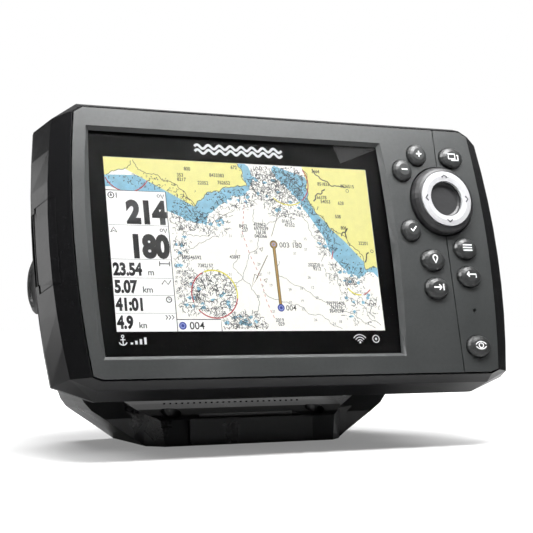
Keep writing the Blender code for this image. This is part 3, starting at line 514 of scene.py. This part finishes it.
def chart_ground():
    water = Drawing(WATER, CHART_ORIGIN)
    water.box((0, 0), PICTURE)
    add_drawing(water, "chart_water", backlit("chart_water", linear(252, 251, 246), 1.05))

    shallows = Drawing(SHALLOWS, CHART_ORIGIN)
    for outline in (WEST_SHALLOWS, EAST_SHALLOWS):
        shallows.area(fractal(outline, 0.22, 2, rng)[:-1])
    for (u, v), (reach_u, reach_v), _ in ROCKS:
        for _ in range(7):
            x, z = u + rng.uniform(-0.7, 0.7) * reach_u, v + rng.uniform(-0.7, 0.7) * reach_v
            if on_water(x - 1.5, z - 1.5) and on_water(x + 1.5, z + 1.5):
                patch = [
                    (x + rng.uniform(0.3, 1.3) * math.cos(a), z + rng.uniform(0.3, 1.0) * math.sin(a))
                    for a in (i * math.pi / 4 for i in range(8))
                ]
                shallows.area(patch)
    add_drawing(shallows, "chart_shallows", backlit("chart_shallows", linear(142, 194, 216), spread=0.12))

    land = Drawing(LAND, CHART_ORIGIN)
    west = fractal(WEST_COAST, 0.2, 3, rng)
    east = fractal(EAST_COAST, 0.2, 3, rng)
    land.area([*west, (53, 64.8), (0, 64.8)])
    land.area([*east, (108, 25), (108, 64.8), (80, 64.8)])
    add_drawing(land, "chart_land", backlit("chart_land", linear(243, 238, 152)))
    return west, east


def chart_lines(west, east):
    """Coasts, contours, rocks, ticks and the thin bearing lines."""
    dark = Drawing(LINES, CHART_ORIGIN)
    for coast in (west, east):
        for run in within(coast):
            dark.line(run, 0.22)
    for contour in CONTOURS:
        for run in within(fractal(contour, 0.18, 3, rng)):
            dark.line(run, 0.16)
    for centre, reach, count in ROCKS:
        for _ in range(count):
            angle, share = rng.uniform(0, 2 * math.pi), math.sqrt(rng.random())
            u = centre[0] + reach[0] * share * math.cos(angle)
            v = centre[1] + reach[1] * share * math.sin(angle)
            length, turn = rng.uniform(0.2, 1.0), rng.uniform(0, math.pi)
            stroke = [(u, v)]
            for _ in range(2):
                turn += rng.uniform(-1.3, 1.3)
                u, v = u + length * math.cos(turn), v + length * math.sin(turn)
                stroke.append((u, v))
            clear = all(on_water(*point) and not on_land(*point) for point in stroke)
            if clear or (on_water(*stroke[0]) and on_water(*stroke[-1]) and rng.random() < 0.06):
                dark.line(stroke, rng.choice((0.12, 0.16, 0.24)))
    for outline in (WEST_SHALLOWS, EAST_SHALLOWS):
        low, high = [[pick(point[i] for point in outline) for i in (0, 1)] for pick in (min, max)]
        for _ in range(520):
            u, v = rng.uniform(low[0], high[0]), rng.uniform(low[1], high[1])
            if inside(outline, u, v) and on_water(u, v) and not on_land(u, v):
                turn = rng.uniform(0, math.pi)
                end = (u + 0.5 * math.cos(turn), v + 0.5 * math.sin(turn))
                dark.line([(u, v), end], rng.choice((0.2, 0.3, 0.4)))
    road = fractal([(84.5, 64.2), (88, 60), (92, 57.5), (98, 57)], 0.15, 3, rng)
    dark.line(road, 0.4)
    inlets = ([(83.5, 51), (87, 54), (89, 56)], [(94, 38), (97, 40.5), (96, 36.5)], [(103, 27), (105, 31)])
    for inlet in inlets:
        dark.line(fractal(inlet, 0.25, 2, rng), 0.5)
    for at in ((98.8, 55.8), (106.5, 31.5)):
        dark.ring(at, 0.6, 0.2, count=12)
    add_drawing(dark, "chart_lines", backlit("chart_ink", linear(44, 47, 52), spread=0.2))

    red = Drawing(MARKS, CHART_ORIGIN)
    channel = [(55, 51), (53.5, 46), (52, 38), (54.5, 28.5), (57.5, 20), (59, 12), (62, 4)]
    fairway = fractal(channel, 0.03, 3, rng)
    for start, end in zip(fairway[::2], fairway[1::2]):
        red.line([start, end], 0.22)
    red.ring((8.4, 60.8), 9.0, 0.4, 205, 330)
    red.ring((38.6, 13.9), 9.0, 0.45, 118, 200)
    red.ring((38.6, 13.9), 9.0, 0.45, 222, 350)
    red.ring((72.9, 58.1), 9.0, 0.4, -52, 36)
    red.line(arc((99, 20), 6.0, 285, 320, 8), 0.4)
    red.line([(89.5, 31.5), (88.5, 28)], 0.4)
    add_drawing(red, "chart_red", backlit("chart_red", linear(176, 48, 62)))

    yellow = Drawing(MARKS, CHART_ORIGIN)
    yellow.ring((38.6, 13.9), 9.0, 0.5, -10, 112)
    yellow.ring((72.9, 58.1), 9.0, 0.4, 225, 302)
    yellow.line(arc((99, 20), 6.0, 215, 275, 10), 0.5)
    add_drawing(yellow, "chart_yellow", backlit("chart_yellow", linear(226, 218, 62)))


def chart_numbers():
    """Spot heights, and soundings over the open water."""
    figures = Drawing(MARKS, CHART_ORIGIN)
    for at, digits in LABELS:
        figures.text("".join(rng.choice("0123456789") for _ in range(digits)), 1.9, at, narrow=0.9, bold=0.02)
    for column in range(11):
        for row in range(9):
            u = 45 + column * 5.6 + rng.uniform(-1.6, 1.6)
            v = 2.5 + row * 4.6 + rng.uniform(-1.2, 1.2)
            open_water = 44 < u < 86 + (32 - v) * 0.4 and v < 36
            if open_water and on_water(u, v) and rng.random() < 0.55 and abs(u - 64.6) > 3:
                figures.text(str(rng.randint(9, 39)), 1.5, (u, v), narrow=0.9)
    add_drawing(figures, "chart_figures", backlit("chart_figure_ink", linear(48, 50, 56)))


def course_and_ship():
    """Course from the gold mark to the blue one, the ship's arrow and its bearing line."""
    start, end = (64.5, 33.3), (64.8, 8.8)
    edges = Drawing(MARKS, CHART_ORIGIN)
    edges.line([start, end], 1.25)
    edges.disc(start, 1.6)
    edges.line([(71.7, 55.3), (64.0, 36.5)], 0.2)
    edges.line([(61.5, 29.0), (56.0, 20.0)], 0.3)
    edges.line([(55.4, 21.6), (56.7, 20.8), (53.8, 16.8), (55.4, 21.6)], 0.28)
    for at in ((58.5, 31.5), (59, 19.5)):
        edges.line([at, (at[0] + 1.4, at[1] + 0.5), (at[0] + 0.8, at[1] - 1.0), at], 0.3)
    add_drawing(edges, "course_edges", backlit("course_dark", linear(84, 66, 40)))
    gold = Drawing(PANEL, CHART_ORIGIN)
    gold.line([start, end], 0.75)
    gold.disc(start, 1.2)
    add_drawing(gold, "course_gold", backlit("course_gold", linear(178, 146, 84)))

    tag = (25.0, 2.1)
    rims = Drawing(PANEL - 0.01, CHART_ORIGIN)
    centres = Drawing(PANEL - 0.03, CHART_ORIGIN)
    for at in (end, tag):
        rims.disc(at, 1.45)
        centres.ring(at, 0.8, 0.35, count=20)
    centres.ring(start, 0.6, 0.3, count=16)
    add_drawing(rims, "waypoint_discs", backlit("waypoint_blue", linear(44, 60, 150)))
    add_drawing(centres, "waypoint_rings", backlit("waypoint_light", linear(150, 165, 225)))


def data_panel():
    """White column with six readings, each with a small sign, and the tag under the chart."""
    sheet = Drawing(PANEL, CHART_ORIGIN)
    sheet.box((0, 0), (PANEL_WIDTH, PANEL_TOP))
    sheet.box((PANEL_WIDTH, 0), (TAG_RIGHT, TAG_TOP))
    add_drawing(sheet, "data_sheet", backlit("data_sheet", linear(254, 254, 252), 1.05))

    ink = Drawing(FIGURES, CHART_ORIGIN)
    ink.line([(0, PANEL_TOP), (PANEL_WIDTH, PANEL_TOP), (PANEL_WIDTH, 0)], 0.3)
    ink.line([(PANEL_WIDTH, TAG_TOP), (TAG_RIGHT, TAG_TOP), (TAG_RIGHT, 0)], 0.3)
    for baseline, reading in ((40.3, "214"), (27.5, "180")):
        ink.text(reading, 11.4, (PANEL_WIDTH - 0.5, baseline), "RIGHT", narrow=0.88, bold=0.06)
    small = (
        (20.7, "23.54", "m", 13.4), (14.3, "5.07", "km", 10.9), (7.8, "41:01", "", 0), (1.3, "4.9", "kn", 8.4)
    )
    for baseline, reading, unit, place in small:
        ink.text(reading, 6.2, (0.5, baseline), narrow=0.78, bold=0.05)
        ink.text(unit, 3.2, (place, baseline), bold=0.012)
    ink.text("004", 3.9, (27.6, 0.8), bold=0.012)
    ink.text("003 180", 2.9, (66.8, 32.2), bold=0.004)
    ink.text("004", 2.9, (66.8, 7.8), bold=0.004)
    ink.text("2 km", 2.6, (24.2, 32.0), bold=0.004)
    panel_signs(ink)
    add_drawing(ink, "data_figures", backlit("data_ink", linear(14, 14, 16)))

    rules = Drawing(FIGURES, CHART_ORIGIN)
    for height in PANEL_ROWS:
        rules.line([(0.2, height), (PANEL_WIDTH - 0.2, height)], 0.18)
    add_drawing(rules, "data_rules", backlit("data_rule", linear(150, 152, 150)))


def panel_signs(ink):
    """Heading, course, offset, distance, time and speed signs."""
    for top in (PANEL_TOP, PANEL_ROWS[0]):
        ink.ring((20.0, top - 1.6), 0.5, 0.25, count=12)
        ink.line([(20.9, top - 1.0), (21.5, top - 2.6), (22.1, top - 1.0)], 0.35)
    ink.ring((1.9, PANEL_TOP - 1.9), 1.1, 0.35, count=20)
    ink.area([(1.9, PANEL_TOP - 0.9), (2.4, PANEL_TOP - 2.2), (1.4, PANEL_TOP - 2.2)])
    ink.line([(3.9, PANEL_TOP - 2.9), (3.9, PANEL_TOP - 0.9)], 0.35)
    course = PANEL_ROWS[0] - 1.9
    arrowhead = [(0.7, course - 0.9), (1.9, course + 1.0), (3.1, course - 0.9), (1.9, course - 0.3)]
    ink.line(arrowhead, 0.35, closed=True)
    for row, height in enumerate(PANEL_ROWS[1:]):
        middle = height - 1.5
        if row == 0:
            ink.line([(18.2, middle), (22.0, middle)], 0.35)
            ink.line([(18.2, middle - 0.9), (18.2, middle + 0.9)], 0.35)
            ink.line([(22.0, middle - 0.9), (22.0, middle + 0.9)], 0.35)
        elif row == 1:
            low, high = middle - 0.8, middle + 0.8
            ink.line([(18.4, low), (19.6, high), (20.8, low), (22.0, high)], 0.35)
        elif row == 2:
            ink.ring((20.6, middle), 1.0, 0.35, count=20)
            ink.line([(20.6, middle + 0.7), (20.6, middle), (21.2, middle)], 0.3)
        else:
            for start in (18.8, 20.0, 21.2):
                ink.line([(start, middle + 0.8), (start + 0.7, middle), (start, middle - 0.8)], 0.35)


# ---------------------------------------------------------------- key symbols

def key_symbols():
    """A plain sign printed on the crown of each key."""
    width = 0.52
    signs = {name: Drawing(KEY_TOP - 0.04, place) for name, place in KEYS.items()}
    signs["key_plus"].line([(-1.2, 0), (1.2, 0)], width)
    signs["key_plus"].line([(0, -1.2), (0, 1.2)], width)
    signs["key_minus"].line([(-1.3, 0), (1.3, 0)], width)
    signs["key_check"].line([(-1.2, 0.1), (-0.4, -0.9), (1.3, 1.1)], width)
    signs["key_view"].line([(-2.2, -0.9), (0.9, -0.9), (0.9, 1.1), (-2.2, 1.1)], width * 0.8, closed=True)
    signs["key_view"].line([(1.6, 0.6), (2.3, 0.6), (2.3, -1.5), (-0.9, -1.5)], width * 0.8)
    for height in (-1.1, 0.0, 1.1):
        signs["key_menu"].line([(-2.1, height), (2.1, height)], width * 0.9)
    signs["key_exit"].line([(2.1, -0.9), (2.1, 0.5), (-1.9, 0.5)], width)
    signs["key_exit"].line([(-0.9, 1.5), (-2.0, 0.5), (-0.9, -0.5)], width)
    signs["key_mark"].ring((0, 0.6), 1.0, width, -40, 220, 14)
    signs["key_mark"].line([(-0.85, 0.1), (0, -1.6), (0.85, 0.1)], width)
    signs["key_goto"].line([(-2.3, 0), (1.0, 0)], width)
    signs["key_goto"].line([(0.1, 1.1), (1.2, 0), (0.1, -1.1)], width)
    signs["key_goto"].line([(2.1, -1.3), (2.1, 1.3)], width)
    signs["key_power"].ring((0, 0), 1.0, width * 0.8, 125, 415, 18)
    signs["key_power"].line([(0, 0.5), (0, 1.7)], width * 0.8)
    signs["key_power"].line(arc((0, -1.6), 3.1, 40, 140, 12), width * 0.7)
    signs["key_power"].line(arc((0, 1.6), 3.1, 220, 320, 12), width * 0.7)
    for name, sign in signs.items():
        add_drawing(sign, f"{name}_symbol", PRINT_WHITE, body=name, thickness=0.06)


def ring_arrows():
    """Four open arrowheads printed on the bright ring."""
    arrows = Drawing(RING_TOP - 0.02, NAV_CENTRE)
    for turn in range(4):
        angle = math.pi / 2 * turn
        points = []
        for along, across in ((8.75, -1.25), (9.75, 0.0), (8.75, 1.25)):
            points.append((
                along * math.cos(angle) - across * math.sin(angle),
                along * math.sin(angle) + across * math.cos(angle),
            ))
        arrows.line(points, 0.6)
    add_drawing(arrows, "nav_ring_arrows", PRINT_GREY, body="nav_pad", thickness=0.2)


# ---------------------------------------------------------------- socket contacts

def socket_contacts():
    """Round-ended gold pins on the floor of each rear socket."""
    for word, (x, count, spread) in SOCKETS.items():
        shape = bmesh.new()
        for i in range(count):
            angle = 2 * math.pi * i / count + math.pi / 2
            at = (x + spread * math.cos(angle), SOCKET_Z + spread * math.sin(angle))
            profile = [(0.55, SOCKET_FLOOR), (0.55, PIN_END - 0.5), (0.4, PIN_END - 0.15), (0.15, PIN_END)]
            rows = [
                [
                    shape.verts.new((
                        at[0] + radius * math.cos(step * math.pi / 5), depth,
                        at[1] + radius * math.sin(step * math.pi / 5),
                    ))
                    for step in range(10)
                ]
                for radius, depth in profile
            ]
            for near, far in zip(rows, rows[1:]):
                for j in range(10):
                    k = (j + 1) % 10
                    shape.faces.new((near[j], near[k], far[k], far[j]))
            shape.faces.new(rows[-1])
        bmesh.ops.recalc_face_normals(shape, faces=shape.faces)
        add_piece(shape, f"{word}_socket_contacts", FINISH["brass"], "display")


# ---------------------------------------------------------------- studio

def seen_by_camera(nodes, links, operation, value, target):
    """Combine a strength with whether a ray comes straight from the camera."""
    seen = nodes.new("ShaderNodeMath")
    seen.operation = operation
    links.new(value, seen.inputs[0])
    links.new(nodes.new("ShaderNodeLightPath").outputs["Is Camera Ray"], seen.inputs[1])
    links.new(seen.outputs["Value"], target)


def floor():
    """Pale floor lit by the lamps, with their real shadow near the object; its own glow, seen by the camera
    only, is low there, a painted shade round the object, and rises to plain white further out.
    """
    mesh = bpy.data.meshes.new("floor")
    half = FLOOR_SIZE / 2
    corners = [(-half, -half, 0), (half, -half, 0), (half, half, 0), (-half, half, 0)]
    mesh.from_pydata(corners, [], [(0, 1, 2, 3)])
    ground = bpy.data.objects.new("floor", mesh)
    bpy.context.scene.collection.objects.link(ground)
    material, nodes, links = new_material("floor_pale")
    shader = nodes["Principled BSDF"]
    shader.inputs["Roughness"].default_value = 0.7
    shader.inputs["Specular IOR Level"].default_value = 0.1
    shader.inputs["Emission Color"].default_value = (1, 1, 1, 1)
    place = nodes.new("ShaderNodeMapping")
    place.inputs["Location"].default_value = (0, 0.02, 0)
    links.new(nodes.new("ShaderNodeTexCoord").outputs["Object"], place.inputs["Vector"])
    length = nodes.new("ShaderNodeVectorMath")
    length.operation = "LENGTH"
    links.new(place.outputs["Vector"], length.inputs[0])
    # painted shade: the camera-only glow is lowest under the object and rises with distance from it
    glow_dimmed_near_object = nodes.new("ShaderNodeMapRange")
    glow_dimmed_near_object.interpolation_type = "SMOOTHSTEP"
    glow_dimmed_near_object.inputs["From Min"].default_value, glow_dimmed_near_object.inputs["From Max"].default_value = FLOOR_FADE
    glow_dimmed_near_object.inputs["To Min"].default_value, glow_dimmed_near_object.inputs["To Max"].default_value = FLOOR_GLOW
    links.new(length.outputs["Value"], glow_dimmed_near_object.inputs["Value"])
    seen_by_camera(nodes, links, "MULTIPLY", glow_dimmed_near_object.outputs["Result"], shader.inputs["Emission Strength"])
    tint = mottled(nodes, links, noise(nodes, links, 60.0), [FLOOR_ALBEDO] * 3, 0.01)
    links.new(tint, shader.inputs["Base Color"])
    mesh.materials.append(material)


def soft_light(name, place, size, power, target=(0.0, -0.03, 0.08)):
    data = bpy.data.lights.new(name, "AREA")
    data.shape = "RECTANGLE"
    data.size, data.size_y = size
    data.energy = power
    light = bpy.data.objects.new(name, data)
    light.location = place
    light.rotation_euler = (Vector(target) - Vector(place)).to_track_quat("-Z", "Y").to_euler()
    bpy.context.scene.collection.objects.link(light)


def studio():
    """Backdrop that is white to the camera and dim to the object, with four soft lights."""
    world = bpy.data.worlds.new("studio")
    bpy.context.scene.world = world
    world.use_nodes = True
    nodes, links = world.node_tree.nodes, world.node_tree.links
    background = nodes["Background"]
    background.inputs["Color"].default_value = (1, 1, 1, 1)
    direction = nodes.new("ShaderNodeSeparateXYZ")
    links.new(nodes.new("ShaderNodeTexCoord").outputs["Generated"], direction.inputs["Vector"])
    sweep = nodes.new("ShaderNodeMapRange")
    sweep.inputs["From Min"].default_value, sweep.inputs["From Max"].default_value = SWEEP_RISE
    sweep.inputs["To Min"].default_value, sweep.inputs["To Max"].default_value = SWEEP_LIGHT
    links.new(direction.outputs["Y"], sweep.inputs["Value"])
    seen_by_camera(nodes, links, "MAXIMUM", sweep.outputs["Result"], background.inputs["Strength"])

    soft_light("top_near", (0.0, -0.14, 0.27), (0.34, 0.08), 2.2, (0.0, -0.05, 0.12))
    soft_light("top_rear", (0.0, 0.3, 1.1), (1.0, 0.6), 12)
    soft_light("front_right", (0.7, -0.7, 0.9), (0.5, 0.4), 1.2)
    soft_light("left_rear", (-0.9, 0.55, 0.15), (0.4, 0.5), 1.8)


def camera():
    data = bpy.data.cameras.new("camera")
    data.sensor_width = 36.0
    data.lens = CAMERA_LENS
    data.shift_y = CAMERA_SHIFT
    data.clip_start = 0.01
    eye = bpy.data.objects.new("camera", data)
    eye.location = CAMERA_PLACE
    eye.rotation_euler = (math.radians(90), 0, math.radians(CAMERA_TURN))
    bpy.context.scene.collection.objects.link(eye)
    bpy.context.scene.camera = eye
    bpy.context.scene.view_settings.view_transform = "Standard"


lens_border()
border_symbols()
coasts = chart_ground()
chart_lines(*coasts)
chart_numbers()
course_and_ship()
data_panel()
key_symbols()
ring_arrows()
socket_contacts()
floor()
studio()
camera()
